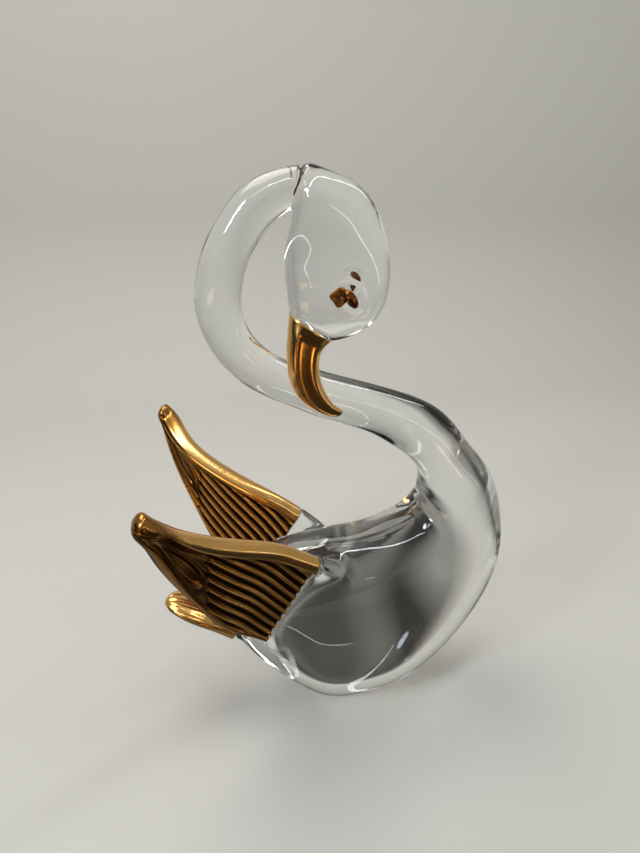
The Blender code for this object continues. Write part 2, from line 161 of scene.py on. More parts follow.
# A wing, on the swan's left: top edge x, y, z and lower edge x, y, z from root to tip
WING = (
    (1.0, 8.0, 47.0, -15.5, 8.0, 17.0),
    (-9.0, 13.4, 54.4, -24.6, 12.4, 29.6),
    (-18.0, 15.2, 60.4, -30.6, 15.8, 36.0),
    (-27.0, 18.8, 65.0, -35.3, 19.4, 42.6),
    (-35.6, 23.2, 70.0, -39.4, 23.4, 51.2),
    (-41.2, 26.8, 74.6, -42.8, 27.2, 59.4),
    (-44.4, 30.4, 78.8, -45.4, 30.8, 67.0),
    (-45.6, 33.0, 81.2, -47.6, 33.6, 73.8),
    (-46.7, 34.0, 82.7, -49.2, 34.4, 77.4),
)
# The tail leaf: middle x, z, half width share, half thickness share, sideways shift
TAIL = (
    (-20.0, 22.0, 0.60, 2.2, 0.3),
    (-25.0, 22.8, 0.66, 1.9, 0.5),
    (-30.0, 25.0, 0.72, 1.45, 0.8),
    (-36.0, 28.6, 0.90, 1.10, 1.4),
    (-42.0, 32.0, 1.00, 1.00, 1.8),
    (-46.5, 34.2, 0.84, 0.85, 2.0),
    (-49.2, 35.0, 0.52, 0.60, 2.0),
    (-50.6, 35.1, 0.12, 0.14, 2.0),
)
TAIL_GILD = 2.0
# The eyes: name, side, middle x and z on the head, and size over the eye's given size
EYES = (
    ("left_eye", 1, 0.8, 125.2, 0.62),
    ("right_eye", -1, -1.6, 121.4, 1.0),
)


def colour(code):
    """An sRGB hex colour as the linear values that Blender's sockets take."""
    parts = [int(code[i:i + 2], 16) / 255 for i in (1, 3, 5)]
    linear = [c / 12.92 if c <= 0.04045 else ((c + 0.055) / 1.055) ** 2.4 for c in parts]
    return (*linear, 1.0)


def add(tree, kind, inputs=None, **settings):
    """Adds one node, with its settings, its values and its links."""
    made = tree.nodes.new(kind)
    for name, value in settings.items():
        setattr(made, name, value)
    for key, value in (inputs or {}).items():
        if isinstance(value, bpy.types.NodeSocket):
            tree.links.new(value, made.inputs[key])
        else:
            made.inputs[key].default_value = value
    return made


def ease(share):
    """A smooth step from 0 to 1."""
    share = np.clip(share, 0.0, 1.0)
    return share * share * (3 - 2 * share)


def spline(rows, places):
    """A cubic curve through every row with no jump in its curvature."""
    rows = np.array(rows, float)
    places = np.array(places, float)
    count = len(rows)
    system = np.eye(count)
    bends = np.zeros_like(rows)
    for i in range(1, count - 1):
        system[i, i - 1:i + 2] = (1.0, 4.0, 1.0)
        bends[i] = 6 * (rows[i + 1] - 2 * rows[i] + rows[i - 1])
    curve = np.linalg.solve(system, bends)
    i = np.minimum(places.astype(int), count - 2)
    t = (places - i)[:, None]
    s = 1 - t
    return (s * rows[i] + t * rows[i + 1]
            + ((s ** 3 - s) * curve[i] + (t ** 3 - t) * curve[i + 1]) / 6)


def closed_mesh(name, rings):
    """A mesh through rings of equal count, capped at both ends, with its faces outwards."""
    rings = np.array(rings, float) * MM
    count = rings.shape[1]
    shape = bmesh.new()
    loops = [[shape.verts.new(Vector(p)) for p in ring] for ring in rings]
    for near, far in zip(loops, loops[1:]):
        for k in range(count):
            shape.faces.new((near[k], near[(k + 1) % count], far[(k + 1) % count], far[k]))
    shape.faces.new(list(reversed(loops[0])))
    shape.faces.new(loops[-1])
    bmesh.ops.recalc_face_normals(shape, faces=shape.faces)
    mesh = bpy.data.meshes.new(name)
    shape.to_mesh(mesh)
    shape.free()
    made = bpy.data.objects.new(name, mesh)
    bpy.context.scene.collection.objects.link(made)
    return made


def kept_inside(points, node, ground_off=0.0):
    """The points, eased in where a finer curve would pass the frame's box for that node."""
    low, high = (np.array(corner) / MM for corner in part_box(node))
    low[2] -= ground_off
    for axis in range(3):
        values = points[..., axis]
        least, most = values.min(), values.max()
        to_low, to_high = max(least, low[axis]), min(most, high[axis])
        points[..., axis] = to_low + (values - least) * (to_high - to_low) / (most - least)
    return points


def evaluated(item, name):
    """The item with its modifiers turned into a plain mesh; the item itself is removed."""
    graph = bpy.context.evaluated_depsgraph_get()
    mesh = bpy.data.meshes.new_from_object(item.evaluated_get(graph))
    bpy.data.objects.remove(item, do_unlink=True)
    made = bpy.data.objects.new(name, mesh)
    bpy.context.scene.collection.objects.link(made)
    return made


def finish_piece(item, material, node):
    """Gives a piece its finish, and lets it stand for its node in the frame."""
    item.data.materials.clear()
    item.data.materials.append(material)
    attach(item, "root")
    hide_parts(node)


# The clear glass

def neck_row(x, z, heading, girth, shift):
    """A station of the drawn rod, from its middle, its heading and its girth."""
    angle = math.radians(heading)
    reach = girth * ROD
    side = np.array([-math.sin(angle), math.cos(angle)]) * reach
    return (x + side[0], z + side[1], x - side[0], z - side[1], reach, shift)


def sections(rows, angles, power):
    """Points of rounded sections between each row's two outline points."""
    rows = np.array(rows)
    middle = np.stack([(rows[:, 0] + rows[:, 2]) / 2, rows[:, 5], (rows[:, 1] + rows[:, 3]) / 2], 1)
    depth = np.stack([(rows[:, 0] - rows[:, 2]) / 2, 0 * rows[:, 0],
                      (rows[:, 1] - rows[:, 3]) / 2], 1)
    power = np.broadcast_to(power, len(rows))[:, None]
    c, s = np.cos(angles)[None], np.sin(angles)[None]
    c = np.sign(c) * np.abs(c) ** (2 / power)
    s = np.sign(s) * np.abs(s) ** (2 / power)
    points = middle[:, None, :] + depth[:, None, :] * c[..., None]
    points[..., 1] += rows[:, 4][:, None] * s
    return points


def surface_normals(points):
    """Outward directions of a grid of points, ring by ring."""
    along = np.gradient(points, axis=0)
    around = np.roll(points, -1, axis=1) - np.roll(points, 1, axis=1)
    normals = np.cross(around, along)
    normals /= np.linalg.norm(normals, axis=2, keepdims=True) + 1e-9
    outward = points - points.mean(axis=1, keepdims=True)
    return normals * np.sign((normals * outward).sum(axis=2, keepdims=True).mean())


def eye_frame(sign, x, z):
    """The middle of an eye on the head's side, its long axis and its short one."""
    row = HEAD[3]
    share = (x - (row[0] + row[2]) / 2) / ((row[0] - row[2]) / 2)
    out = row[4] * math.sqrt(1 - share ** 2) * 0.985
    lean = math.radians(EYE_LEAN)
    long_axis = np.array([-math.sin(lean), 0.0, math.cos(lean)])
    short_axis = np.array([math.cos(lean), 0.0, math.sin(lean)])
    return np.array([x, row[5] + sign * out, z]), long_axis, short_axis


def fold_line(top):
    """Where the notch runs, in stations: a little nearer the neck towards the sides."""
    return FOLD + 0.05 - 0.10 * (1 - top)


def glass_surface():
    """The clear glass as a fine grid: body, neck and head, with its marks of handwork."""
    stations = list(BODY) + [neck_row(*row) for row in NECK] + list(HEAD)
    places = np.concatenate([np.arange(0, FOLD - 1, 1 / 12),
                             np.arange(FOLD - 1, FOLD + 1, 1 / 36),
                             np.arange(FOLD + 1, len(stations) - 1 + 1e-6, 1 / 24)])
    angles = np.arange(112) * 2 * math.pi / 112
    pressed = 2.0 + 0.35 * ease((places - FOLD) / 2)
    points = sections(spline(stations, places), angles, pressed)
    normals = surface_normals(points)
    place, around = np.meshgrid(places, angles, indexing="ij")

    # The fold: a notch, deepest on top and running down the right side
    top = np.cos(around)
    near = -np.sin(around)
    depth = CREASE_DEPTH * ease((top + 0.35) / 1.3) * (0.4 + 0.6 * ease(near + 0.8))
    offset = -depth * np.exp(-np.abs((place - fold_line(top)) / CREASE_WIDTH) ** 1.5)
    # Wrinkles squeezed up inside the bend over the back
    bend = np.exp(-((place - 7.4) / 0.9) ** 2) * ease((top - 0.6) / 0.35)
    offset += 0.13 * bend * np.sin(place * 2 * math.pi * 1.25 + 1.1 * np.sin(2 * around))
    # Tool marks where the beak was drawn out of the head
    last = len(stations) - 1
    drawn = ease((place - last + 0.75) / 0.6) * ease((-top - 0.35) / 0.5)
    offset += 0.22 * drawn * np.sin(place * 2 * math.pi * 3.4 + 4 * around)
    # The long waves that stay in glass drawn by hand
    offset += 0.05 * np.sin(place * 2.9 + 2 * around) * np.sin(place * 1.3 - around)
    points = points + normals * offset[..., None]

    # The cups of the eyes, each pressed into its own side of the head alone
    for _, sign, x, z, size in EYES:
        centre, long_axis, short_axis = eye_frame(sign, x, z)
        from_eye = points - centre
        reach = np.hypot(from_eye @ long_axis / ((EYE_LENGTH / 2 + CUP_MARGIN) * size),
                         from_eye @ short_axis / ((EYE_WIDTH / 2 + CUP_MARGIN) * size))
        same_side = np.abs(from_eye[..., 1]) < 4
        cup = CUP_DEPTH * (1 - ease(reach)) - CUP_RIM * np.exp(-((reach - 1.08) / 0.18) ** 2)
        points[..., 1] -= np.where(same_side, sign * size * cup, 0.0)
    return kept_inside(points, "body_neck_and_head", GROUND_OFF)


def ground_foot(item):
    """Cuts the foot flat where it was ground, with a shallow hollow inside its rim."""
    shape = bmesh.new()
    shape.from_mesh(item.data)
    everything = shape.verts[:] + shape.edges[:] + shape.faces[:]
    cut = bmesh.ops.bisect_plane(shape, geom=everything, plane_co=(0, 0, 0),
                                 plane_no=(0, 0, -1), clear_outer=True)
    edges = [part for part in cut["geom_cut"] if isinstance(part, bmesh.types.BMEdge)]
    foot = bmesh.ops.holes_fill(shape, edges=edges, sides=0)["faces"][0]
    rim = list(foot.verts)
    middle = foot.calc_center_median()
    shape.faces.remove(foot)
    outer = rim
    shares = (0.88, 0.80, 0.72, 0.60, 0.45, 0.25)
    for share in shares:
        rise = Vector((0, 0, FOOT_HOLLOW * float(ease((shares[0] - share) / 0.4)) * MM))
        inner = [shape.verts.new(middle + (vert.co - middle) * share + rise) for vert in rim]
        for k in range(len(rim)):
            after = (k + 1) % len(rim)
            shape.faces.new((outer[k], outer[after], inner[after], inner[k]))
        outer = inner
    shape.faces.new(outer)
    bmesh.ops.recalc_face_normals(shape, faces=shape.faces)
    shape.to_mesh(item.data)
    shape.free()


def is_flat_cut(face):
    """Whether a face is the flat end of a root under its gilding."""
    return face.calc_area() > (FLAT_CUT * MM) ** 2


def fair_joints(item):
    """Melts the sharp seam between the body and each wing's root into a soft fillet."""
    shape = bmesh.new()
    shape.from_mesh(item.data)
    seam = set()
    for edge in shape.edges:
        middle = (edge.verts[0].co + edge.verts[1].co) / 2 / MM
        by_a_root = abs(middle.y) >= 6 and 15 <= middle.z <= 60 and middle.x <= 6
        if not by_a_root or len(edge.link_faces) != 2:
            continue
        sharp = edge.calc_face_angle(0) > math.radians(14)
        if sharp and not any(is_flat_cut(face) for face in edge.link_faces):
            seam.update(edge.verts)
    ends = {vert for face in shape.faces if is_flat_cut(face) for vert in face.verts}
    for widen in range(5):
        seam |= {edge.other_vert(vert) for vert in seam for edge in vert.link_edges}
    seam -= ends
    for melt in range(25):
        bmesh.ops.smooth_vert(shape, verts=list(seam), factor=0.5,
                              use_axis_x=True, use_axis_y=True, use_axis_z=True)
    shape.to_mesh(item.data)
    shape.free()


def build_glass(roots, material):
    """The whole clear glass, with the roots of the wings and the tail fused to the body."""
    glass = closed_mesh("clear_glass_body", glass_surface())
    ground_foot(glass)
    for root in roots:
        step = glass.modifiers.new("fused", "BOOLEAN")
        step.operation = "UNION"
        step.solver = "EXACT"
        step.object = root
    glass = evaluated(glass, "clear_glass")
    for root in roots:
        bpy.data.objects.remove(root, do_unlink=True)
    fair_joints(glass)
    glass.data.shade_smooth()
    glass.data.set_sharp_from_angle(angle=math.radians(50))
    sharpen_flats(glass)
    finish_piece(glass, material, "body_neck_and_head")
    return glass


def sharpen_flats(item):
    """Keeps the flat ends under the gilding flat, and the ground foot's rim crisp."""
    shape = bmesh.new()
    shape.from_mesh(item.data)
    for face in shape.faces:
        if is_flat_cut(face):
            face.smooth = False
            for edge in face.edges:
                edge.smooth = False
    for edge in shape.edges:
        if max(vert.co.z for vert in edge.verts) < 0.001 * MM:
            edge.smooth = False
    shape.to_mesh(item.data)
    shape.free()


# The wings

def wing_rows(sign, places):
    """The wing's two edges at these places; the right wing is drawn out a little further."""
    rows = spline(WING, places)
    if sign < 0:
        gilded = np.array(places) > 1.0
        at_line = spline(WING, [1.0])[0]
        for column in (0, 3):
            reach = rows[gilded, column] - at_line[column]
            rows[gilded, column] += reach * (RIGHT_WING_STRETCH - 1.0)
        share = (np.array(places)[gilded] - 1.0) / (len(WING) - 2)
        rows[gilded, 5] -= RIGHT_WING_SAG * np.sin(np.pi * share)
        rows[gilded, 3] -= RIGHT_TIP_SPREAD * share ** 4
    return rows


def wing_frames(rows, sign):
    """For each section: top point, direction down the chord, outward direction, length."""
    top, low = rows[:, :3], rows[:, 3:]
    length = np.linalg.norm(low - top, axis=1)
    chord = (low - top) / length[:, None]
    run = np.gradient(rows, axis=0)
    out = np.cross(chord, run[:, :3] + run[:, 3:])
    out /= np.linalg.norm(out, axis=1)[:, None]
    mirror = np.array([1.0, sign, 1.0])
    return top * mirror, chord * mirror, out * mirror, length


def wing_profile(length, along, count):
    """Down the chord: distances, half thickness, and the share of free web between the rims."""
    rim = WING_RIM / 2 * (1.0 + RIM_SWELL * along)
    low_rim = rim * LOW_RIM_SHARE
    squeeze = min(1.0, length / (1.02 * (rim + low_rim)))
    rim, low_rim = rim * squeeze, low_rim * squeeze
    quarter = np.linspace(0.0, math.pi / 2, 13)
    top_downs = rim * (1 - np.cos(quarter))
    low_downs = length - low_rim * (1 - np.cos(quarter[::-1]))
    web_downs = np.linspace(rim, length - low_rim, count + 2)[1:-1]
    down = np.concatenate([top_downs, web_downs, low_downs])
    web = WING_WEB / 2
    past = np.clip(down - rim, 0.0, None)
    before = np.clip(length - low_rim - down, 0.0, None)
    half = (web + (rim - web) * np.exp(-(past / (rim * ROLL_FLANK)) ** 2)
            + (low_rim - web) * np.exp(-(before / low_rim) ** 2))
    half = np.where(down < rim, np.sqrt(np.clip(rim ** 2 - (rim - down) ** 2, 0, None)), half)
    rise = length - down
    half = np.where(rise < low_rim,
                    np.sqrt(np.clip(low_rim ** 2 - (low_rim - rise) ** 2, 0, None)), half)
    span = max(length - rim - low_rim, 1e-3)
    return down, half, past / span, span


def leaf_relief(travelled, share, span):
    """The leaf-shaped hollow near the tip, with the thin ridge that edges it."""
    r = np.hypot((travelled - LEAF_MIDDLE) / LEAF_HALF, (share - LEAF_SHARE) / LEAF_HALF_SHARE)
    hollow = -LEAF_DEPTH * np.clip(1 - r * r, 0.0, None)
    ridge = LEAF_RIDGE * np.exp(-((r - 1.0) / 0.17) ** 2)
    lower_bank = 0.5 * ease((share - 0.80) / 0.15) * ease((travelled - 30.0) / 4.0)
    return (hollow + ridge + lower_bank) * ease(span / 4)


def wing_grid(sign, places, ribs):
    """Sections of a wing, with what the pressed ribs need to know of every point."""
    rows = wing_rows(sign, places)
    top, chord, out, length = wing_frames(rows, sign)
    steps = np.linalg.norm(np.diff(top, axis=0), axis=1)
    travelled = np.concatenate([[0.0], np.cumsum(steps)])
    travelled -= np.interp(1.0, places, travelled)
    last = len(WING) - 1
    rings, along, below, web, outward = [], [], [], [], []
    for n, place in enumerate(places):
        down, half, share, span = wing_profile(length[n], place / last, ribs)
        leaf = leaf_relief(travelled[n], share, span) * (share > 0) * (share < 1)
        clear = ease((down - RIB_MARGIN + 0.9) / 1.2) * ease((length[n] - 1.2 - down) / 1.0)
        clear = clear * ease(length[n] / 6 - 1)
        face = top[n] + chord[n] * down[:, None]
        outer, inner = (half + leaf)[:, None], (half + INNER_LEAF * leaf)[:, None]
        rings.append(np.concatenate([face + out[n] * outer, (face - out[n] * inner)[-2:0:-1]]))
        both = [np.concatenate([v, v[-2:0:-1]]) for v in (down, clear)]
        below.append(both[0])
        web.append(both[1])
        along.append(np.full(len(both[0]), travelled[n]))
        side = np.concatenate([np.ones(len(down)), -np.ones(len(down) - 2)])
        outward.append(out[n][None] * side[:, None])
    return (np.array(rings), np.array(along), np.array(below), np.array(web), np.array(outward))


def buried_end(rings):
    """A first section set back into the clear glass, where a gilt piece is fused to it."""
    middle = rings[0].mean(axis=0)
    run = rings[1].mean(axis=0) - middle
    run /= np.linalg.norm(run)
    return middle + (rings[0] - middle) * FUSED_SHARE - run * EMBED


def ball_tip(rings, steps, stand_out):
    """Shrinking sections that close a wing's tip with a ball."""
    last = rings[-1]
    middle = last.mean(axis=0)
    run = middle - rings[-2].mean(axis=0)
    run /= np.linalg.norm(run)
    reach = np.linalg.norm(last - middle, axis=1).max() * stand_out
    angles = np.linspace(0.0, math.radians(86), steps + 1)[1:]
    return [middle + (last - middle) * math.cos(a) + run * reach * math.sin(a) for a in angles]


def rib_tree(material):
    """Geometry Nodes that press parallel ribs into a wing, from the attributes on its mesh."""
    tree = bpy.data.node_groups.new("pressed_ribs", "GeometryNodeTree")
    face = tree.interface
    face.new_socket("Geometry", in_out="INPUT", socket_type="NodeSocketGeometry")
    for name in ("Pitch", "Depth", "Slope", "Margin", "Reach", "Slant", "Valley"):
        face.new_socket(name, in_out="INPUT", socket_type="NodeSocketFloat")
    face.new_socket("Geometry", in_out="OUTPUT", socket_type="NodeSocketGeometry")
    source = add(tree, "NodeGroupInput").outputs
    named = {}
    for name, kind in (("along", "FLOAT"), ("below", "FLOAT"), ("web", "FLOAT"),
                       ("outward", "FLOAT_VECTOR")):
        named[name] = add(tree, "GeometryNodeInputNamedAttribute", {"Name": name},
                          data_type=kind).outputs["Attribute"]
    climb = add(tree, "ShaderNodeMath", {0: named["along"], 1: source["Slope"]},
                operation="MULTIPLY").outputs[0]
    level = add(tree, "ShaderNodeMath", {0: named["below"], 1: climb}, operation="ADD").outputs[0]
    level = add(tree, "ShaderNodeMath", {0: level, 1: source["Margin"]},
                operation="SUBTRACT").outputs[0]
    turn = add(tree, "ShaderNodeMath", {0: level, 1: source["Pitch"]}, operation="DIVIDE").outputs[0]
    turn = add(tree, "ShaderNodeMath", {0: turn, 1: 2 * math.pi}, operation="MULTIPLY").outputs[0]
    wave = add(tree, "ShaderNodeMath", {0: turn}, operation="COSINE").outputs[0]
    wave = add(tree, "ShaderNodeMath", {0: wave, 1: 0.5, 2: 0.5}, operation="MULTIPLY_ADD").outputs[0]
    wave = add(tree, "ShaderNodeMath", {0: wave, 1: 0.6}, operation="POWER").outputs[0]
    out = add(tree, "ShaderNodeMath", {0: named["below"], 1: source["Slant"], 2: named["along"]},
              operation="MULTIPLY_ADD").outputs[0]
    start = add(tree, "ShaderNodeMath", {0: source["Reach"], 1: 0.93}, operation="MULTIPLY").outputs[0]
    ended = add(tree, "ShaderNodeMapRange",
                {"Value": out, "From Min": start, "From Max": source["Reach"],
                 "To Min": 0.0, "To Max": source["Valley"]},
                interpolation_type="SMOOTHSTEP").outputs[0]
    amount = add(tree, "ShaderNodeMath", {0: wave, 1: ended}, operation="MAXIMUM").outputs[0]
    past = add(tree, "ShaderNodeMath", {0: out, 1: source["Reach"]},
               operation="GREATER_THAN").outputs[0]
    amount = add(tree, "ShaderNodeMix", {0: past, 2: amount, 3: ended}).outputs[0]
    amount = add(tree, "ShaderNodeMath", {0: amount, 1: named["web"]},
                 operation="MULTIPLY").outputs[0]
    sink = add(tree, "ShaderNodeMath", {0: amount, 1: source["Depth"]},
               operation="MULTIPLY").outputs[0]
    sink = add(tree, "ShaderNodeMath", {0: sink, 1: -1.0}, operation="MULTIPLY").outputs[0]
    move = add(tree, "ShaderNodeVectorMath", {0: named["outward"], "Scale": sink},
               operation="SCALE").outputs[0]
    moved = add(tree, "GeometryNodeSetPosition", {"Geometry": source["Geometry"], "Offset": move})
    # Painted shade: the gilding is also darkened on the lower rim and round the tip, as well as in the
    # grooves and the valley
    rim = add(tree, "ShaderNodeMath", {0: 1.0, 1: named["web"]}, operation="SUBTRACT").outputs[0]
    low_from, tip_from, tip_full = (
        add(tree, "ShaderNodeMath", {0: source[name], 1: share}, operation="MULTIPLY").outputs[0]
        for name, share in (("Margin", 1.5), ("Reach", 1.20), ("Reach", 1.42)))
    low = add(tree, "ShaderNodeMapRange",
              {"Value": named["below"], "From Min": source["Margin"], "From Max": low_from,
               "To Min": 0.0, "To Max": 0.5}, interpolation_type="SMOOTHSTEP").outputs[0]
    rim = add(tree, "ShaderNodeMath", {0: rim, 1: low}, operation="MULTIPLY").outputs[0]
    tip = add(tree, "ShaderNodeMapRange",
              {"Value": named["along"], "From Min": tip_from, "From Max": tip_full,
               "To Min": 0.0, "To Max": 0.55}, interpolation_type="SMOOTHSTEP").outputs[0]
    shade_amount = add(tree, "ShaderNodeMath", {0: amount, 1: rim}, operation="MAXIMUM").outputs[0]
    shade_amount = add(tree, "ShaderNodeMath", {0: shade_amount, 1: tip}, operation="MAXIMUM").outputs[0]
    # The painted shade is stored for the gilding's colour: the more of it, the darker the brown
    kept = add(tree, "GeometryNodeStoreNamedAttribute",
               {"Geometry": moved.outputs[0], "Name": "painted_shade", "Value": shade_amount},
               data_type="FLOAT", domain="POINT")
    real = add(tree, "GeometryNodeRealizeInstances", {0: kept.outputs[0]})
    dressed = add(tree, "GeometryNodeSetMaterial", {"Geometry": real.outputs[0], "Material": material})
    add(tree, "NodeGroupOutput", {0: dressed.outputs[0]})
    return tree


def build_wing(name, sign, tree, material):
    """The gilt blade of a wing, and the clear root that carries it."""
    last = len(WING) - 1
    places = np.linspace(1.0, last, 150)
    rings, along, below, web, outward = wing_grid(sign, places, 110)
    tip = ball_tip(rings, 9, 0.6)
    grid = kept_inside(np.concatenate([[buried_end(rings)], rings, tip]), name)
    blade = closed_mesh(name + "_blade", grid)
    extra = len(tip)
    for label, values, unit in (("along", along, MM), ("below", below, MM), ("web", web, 1.0)):
        full = np.concatenate([values[:1], values, np.repeat(values[-1:], extra, axis=0)])
        attribute = blade.data.attributes.new(label, "FLOAT", "POINT")
        attribute.data.foreach_set("value", (full * unit).astype(np.float32).ravel())
    full = np.concatenate([outward[:1], outward, np.repeat(outward[-1:], extra, axis=0)])
    attribute = blade.data.attributes.new("outward", "FLOAT_VECTOR", "POINT")
    attribute.data.foreach_set("vector", full.astype(np.float32).ravel())
    ribs = blade.modifiers.new("ribs", "NODES")
    ribs.node_group = tree
    slope = math.tan(math.radians(RIB_ANGLE))
    values = {"Pitch": RIB_PITCH / math.cos(math.radians(RIB_ANGLE)) * MM, "Depth": RIB_DEPTH * MM,
              "Slope": slope, "Margin": RIB_MARGIN * MM, "Reach": RIB_REACH * MM,
              "Slant": RIB_SLANT, "Valley": VALLEY_DEPTH}
    for item in tree.interface.items_tree:
        if item.in_out == "INPUT" and item.name in values:
            ribs[item.identifier] = values[item.name]
    wing = evaluated(blade, name + "_gilt")
    wing.data.shade_smooth()
    wing.data.set_sharp_from_angle(angle=math.radians(60))
    finish_piece(wing, material, name)

    root_places = np.linspace(0.0, 1.0, 26)
    root_rings = wing_grid(sign, root_places, 24)[0]
    return closed_mesh(name + "_root", root_rings)


# Tail, beak and eyes

def tail_rings(places):
    """Sections of the tail leaf, with its flutes on both faces."""
    rows = spline(TAIL, places)
    run = np.gradient(rows[:, :2], axis=0)
    run /= np.linalg.norm(run, axis=1)[:, None]
    up = np.stack([run[:, 1], 0 * run[:, 0], -run[:, 0]], 1)
    flutes = ease((places - TAIL_GILD) / 1.6) * ease((len(TAIL) - 1 - places) / 1.4)
    angles = np.arange(72) * 2 * math.pi / 72
    rings = []
    for n, (x, z, width, thickness, shift) in enumerate(rows):
        across = np.cos(angles)
        wave = FLUTE_DEPTH * flutes[n] * np.cos(math.pi * TAIL_FLUTES * across)
        middle = np.array([x, shift, z])
        side = np.stack([0 * across, width * TAIL_WIDTH / 2 * across, 0 * across], 1)
        rise = thickness * TAIL_THICKNESS / 2 * np.sin(angles) + wave
        rings.append(middle + side + up[n] * rise[:, None])
    return np.array(rings)


def build_tail(material):
    """The gilt leaf of the tail, and the clear root that carries it."""
    last = len(TAIL) - 1
    rings = tail_rings(np.linspace(TAIL_GILD, last, 90))
    grid = np.concatenate([[buried_end(rings)], rings])
    tail = closed_mesh("tail_gilt", kept_inside(grid, "tail"))
    tail.data.shade_smooth()
    tail.data.set_sharp_from_angle(angle=math.radians(60))
    finish_piece(tail, material, "tail")
    return closed_mesh("tail_root", tail_rings(np.linspace(0.0, TAIL_GILD, 20)))


def build_beak(material):
    """The drawn beak: a ridge down its outer side and a broad pinched face behind it."""
    rows = spline(BEAK, np.linspace(0.0, len(BEAK) - 1, 120))
    angles = np.arange(72) * 2 * math.pi / 72
    rings = sections(rows, angles, 2.0)
    share = np.linspace(0.0, 1.0, len(rows))
    pinch = ease(share / 0.12) * ease((1 - share) / 0.15)
    c, s = np.cos(angles), np.sin(angles)
    ridge = np.exp(-((c + 0.62) / 0.18) ** 2)
    flat = np.exp(-((c - 0.04) / 0.60) ** 2)
    bulge = (0.22 * ridge - 0.20 * flat)[None] * pinch[:, None] * s[None]
    rings[..., 1] += bulge * rows[:, 4][:, None]
    grid = np.concatenate([[buried_end(rings)], rings])
    beak = closed_mesh("beak_gilt", kept_inside(grid, "beak"))
    beak.data.shade_smooth()
    beak.data.set_sharp_from_angle(angle=math.radians(60))
    finish_piece(beak, material, "beak")


def build_eye(name, sign, x, z, size, material):
    """A bead of lustre that fills its pit, with a fold across it where it was touched on."""
    centre, long_axis, short_axis = eye_frame(sign, x, z)
    half_depth = (EYE_RISE + EYE_SINK) / 2
    centre = centre - np.array([0.0, sign * (half_depth - EYE_RISE), 0.0])
    rings = []
    for latitude in np.linspace(-88, 88, 40):
        a = math.radians(latitude)
        ring = []
        for longitude in np.arange(48) * 2 * math.pi / 48:
            across = math.cos(a) * math.cos(longitude)
            out = math.cos(a) * math.sin(longitude)
            fold = 0.10 * math.exp(-((across - 0.25) / 0.18) ** 2)
            ring.append(centre + long_axis * EYE_LENGTH / 2 * size * math.sin(a)
                        + short_axis * EYE_WIDTH / 2 * size * across
                        + np.array([0.0, out * half_depth * (1 - fold), 0.0]))
        rings.append(ring)
    eye = closed_mesh(name + "_bead", kept_inside(np.array(rings), name))
    eye.data.shade_smooth()
    finish_piece(eye, material, name)


def build_painted_eye_image(material):
    """Painted reflection: a brown patch under the skin of the right eye's cup, for the eye's image bent
    by the glass.
    """
    _, sign, x, z, _ = EYES[1]
    centre = eye_frame(sign, x - 2.5, z + 0.5)[0]
    rings = []
    for latitude in np.linspace(-88, 88, 24):
        a = math.radians(latitude)
        ring = []
        for longitude in np.arange(72) * 2 * math.pi / 72:
            reach = (1.0 + 0.12 * math.cos(4 * longitude + 0.6)) * math.cos(a)
            inwards = EYE_IMAGE_DEPTH + EYE_IMAGE_HALF_THICKNESS * math.sin(a)
            ring.append(centre + np.array([math.cos(longitude) * EYE_IMAGE_HALF_LENGTH * reach,
                                           -sign * inwards,
                                           math.sin(longitude) * EYE_IMAGE_HALF_HEIGHT * reach]))
        rings.append(ring)
    image_patch = closed_mesh("painted_eye_image", np.array(rings))
    image_patch.data.shade_smooth()
    image_patch.data.materials.append(material)
    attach(image_patch, "root")


def build_fold_sliver(material):
    """A thin dark brown sliver lying in the fold, tapering down the right side of the neck."""
    stations = list(BODY) + [neck_row(*row) for row in NECK] + list(HEAD)
    turns = np.radians(np.linspace(SLIVER_FROM, SLIVER_TO, 48))
    rings = []
    for n, turn in enumerate(turns):
        place = fold_line(math.cos(turn))
        pair = sections(spline(stations, [place, place + 0.01]), np.array([turn]), 2.0)[:, 0]
        middle = sections(spline(stations, [place]), np.array([0.0, math.pi]), 2.0)[0].mean(axis=0)
        inwards = (middle - pair[0]) / np.linalg.norm(middle - pair[0])
        run = (pair[1] - pair[0]) / np.linalg.norm(pair[1] - pair[0])
        taper = math.sin(math.pi * (n + 0.5) / len(turns)) ** 0.6
        heart = pair[0] + inwards * (CREASE_DEPTH * 0.55 + 0.5)
        deep, wide = inwards * SLIVER_HALF_DEPTH * taper, run * SLIVER_HALF_WIDTH * taper
        rings.append([heart + deep * math.cos(a) + wide * math.sin(a)
                      for a in np.arange(12) * 2 * math.pi / 12])
    sliver = closed_mesh("fold_sliver", np.array(rings))
    sliver.data.shade_smooth()
    sliver.data.materials.append(material)
    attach(sliver, "root")


# Materials

def new_material(name):
    """A material with its tree and its shader."""
    made = bpy.data.materials.new(name)
    made.use_nodes = True
    tree = made.node_tree
    return made, tree, tree.nodes["Principled BSDF"]


def clear_glass():
    """Soda-lime glass, worked in the flame: fire-polished, so it is clear and has no grain."""
    made, tree, shader = new_material("fire_polished_clear_glass")
    shader.inputs["Base Color"].default_value = colour("#FCFDFD")
    shader.inputs["Roughness"].default_value = 0.0
    shader.inputs["IOR"].default_value = 1.5
    shader.inputs["Transmission Weight"].default_value = 1.0
    place = add(tree, "ShaderNodeTexCoord").outputs["Object"]
    waves = add(tree, "ShaderNodeTexNoise", {"Vector": place, "Scale": 0.09 / MM, "Detail": 1.0})
    bump = add(tree, "ShaderNodeBump", {"Strength": 0.05, "Distance": 0.5 * MM,
                                        "Height": waves.outputs["Fac"]})
    tree.links.new(bump.outputs["Normal"], shader.inputs["Normal"])
    return made


